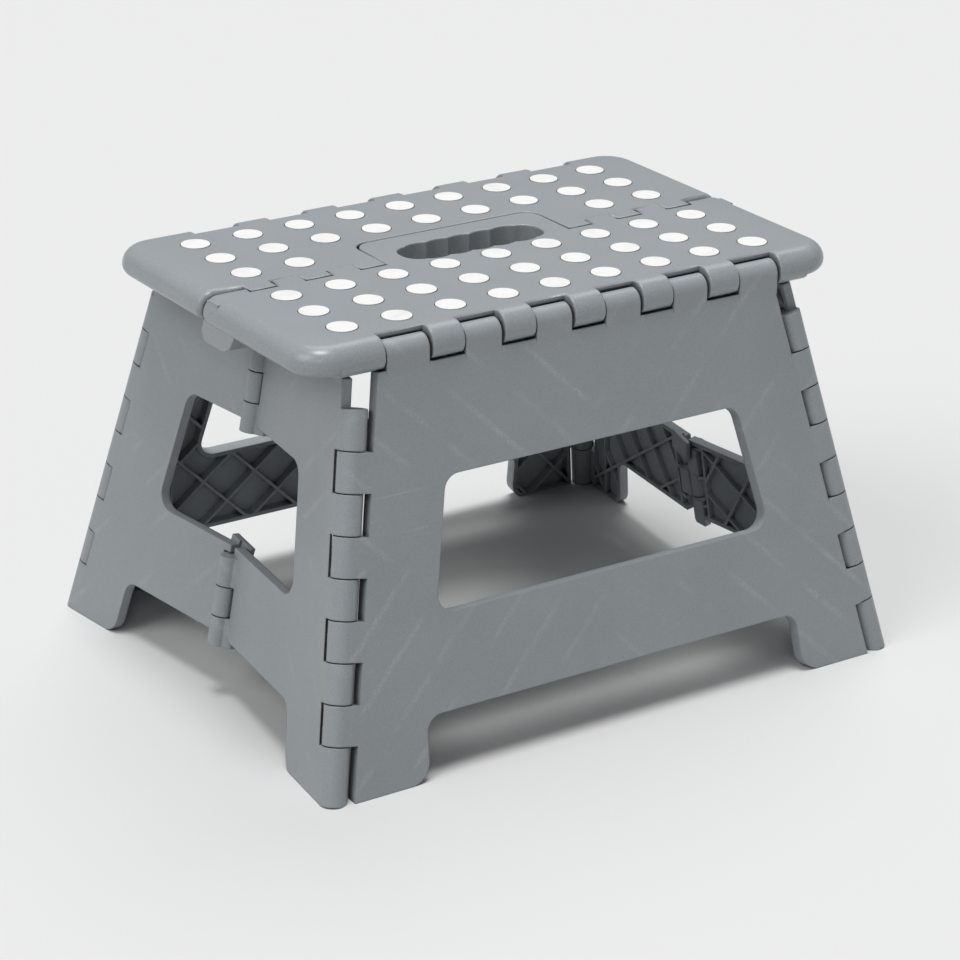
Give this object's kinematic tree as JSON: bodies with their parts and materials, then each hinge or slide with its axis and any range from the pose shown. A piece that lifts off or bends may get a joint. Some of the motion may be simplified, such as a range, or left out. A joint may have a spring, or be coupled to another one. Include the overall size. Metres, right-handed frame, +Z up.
{
  "type": "folding step stool",
  "caption": "Folding plastic step stool, open: split dotted top with a hand slot, splayed ribbed legs and folding end panels on knuckle hinges.",
  "frame": {"origin": "on the floor, under the middle of the top", "axes": "X along the long edge of the top, +Y toward the rear leg, Z up"},
  "size_m": [0.3536, 0.2888, 0.2203],
  "materials": {
    "top_plastic": "semi-matte moulded polypropylene, mid grey",
    "leg_plastic": "semi-matte moulded polypropylene, mid grey, faint sink marks over the ribs",
    "end_plastic": "semi-matte moulded polypropylene, mid grey",
    "grip_rubber": "soft white grip rubber, matte",
    "pin_steel": "plain drawn steel wire"
  },
  "bodies": {
    "front_leg": {"front_leg": "leg_plastic", "front_top_pin": "pin_steel", "front_corner_pins": "pin_steel"},
    "front_top": {"front_top": "top_plastic", "centre_pins": "pin_steel", "front_dots_inner": "grip_rubber", "front_dots_middle": "grip_rubber", "front_dots_outer": "grip_rubber"},
    "rear_top": {"rear_top": "top_plastic", "rear_dots_inner": "grip_rubber", "rear_dots_middle": "grip_rubber", "rear_dots_outer": "grip_rubber"},
    "rear_leg": {"rear_leg": "leg_plastic", "rear_top_pin": "pin_steel", "rear_corner_pins": "pin_steel"},
    "front_left_end": {"front_left_end": "end_plastic", "left_fold_pins": "pin_steel"},
    "front_right_end": {"front_right_end": "end_plastic", "right_fold_pins": "pin_steel"},
    "rear_left_end": {"rear_left_end": "end_plastic"},
    "rear_right_end": {"rear_right_end": "end_plastic"}
  },
  "joints": [
    {"name": "front_top_hinge", "type": "hinge", "parent": "front_leg", "child": "front_top", "pos_m": [0, -0.0945, 0.2105], "axis": [1, 0, 0], "range_deg": [0, 76.5]},
    {"name": "centre_hinge", "type": "hinge", "parent": "front_top", "child": "rear_top", "pos_m": [0, 0, 0.2004], "axis": [-1, 0, 0], "range_deg": [0, 172]},
    {"name": "rear_top_hinge", "type": "hinge", "parent": "rear_top", "child": "rear_leg", "pos_m": [0, 0.0945, 0.2105], "axis": [1, 0, 0], "range_deg": [0, 76.5]},
    {"name": "front_left_corner_hinge", "type": "hinge", "parent": "front_leg", "child": "front_left_end", "pos_m": [-0.17, -0.13756, -0.00147], "axis": [-0.1919, -0.2062, -0.9595], "range_deg": [0, 81]},
    {"name": "front_right_corner_hinge", "type": "hinge", "parent": "front_leg", "child": "front_right_end", "pos_m": [0.17, -0.13756, -0.00147], "axis": [-0.1919, 0.2062, 0.9595], "range_deg": [0, 81]},
    {"name": "rear_left_corner_hinge", "type": "hinge", "parent": "rear_leg", "child": "rear_left_end", "pos_m": [-0.17, 0.13756, -0.00147], "axis": [0.1919, -0.2062, 0.9595], "range_deg": [0, 81]},
    {"name": "rear_right_corner_hinge", "type": "hinge", "parent": "rear_leg", "child": "rear_right_end", "pos_m": [0.17, 0.13756, -0.00147], "axis": [0.1919, 0.2062, -0.9595], "range_deg": [0, 81]}
  ],
  "couplings": [
    {"joint": "centre_hinge", "follows": "front_top_hinge", "ratio": 2.2483},
    {"joint": "rear_top_hinge", "follows": "front_top_hinge", "ratio": 1},
    {"joint": "front_left_corner_hinge", "follows": "front_top_hinge", "ratio": 1.0588},
    {"joint": "front_right_corner_hinge", "follows": "front_top_hinge", "ratio": 1.0588},
    {"joint": "rear_left_corner_hinge", "follows": "front_top_hinge", "ratio": 1.0588},
    {"joint": "rear_right_corner_hinge", "follows": "front_top_hinge", "ratio": 1.0588}
  ]
}
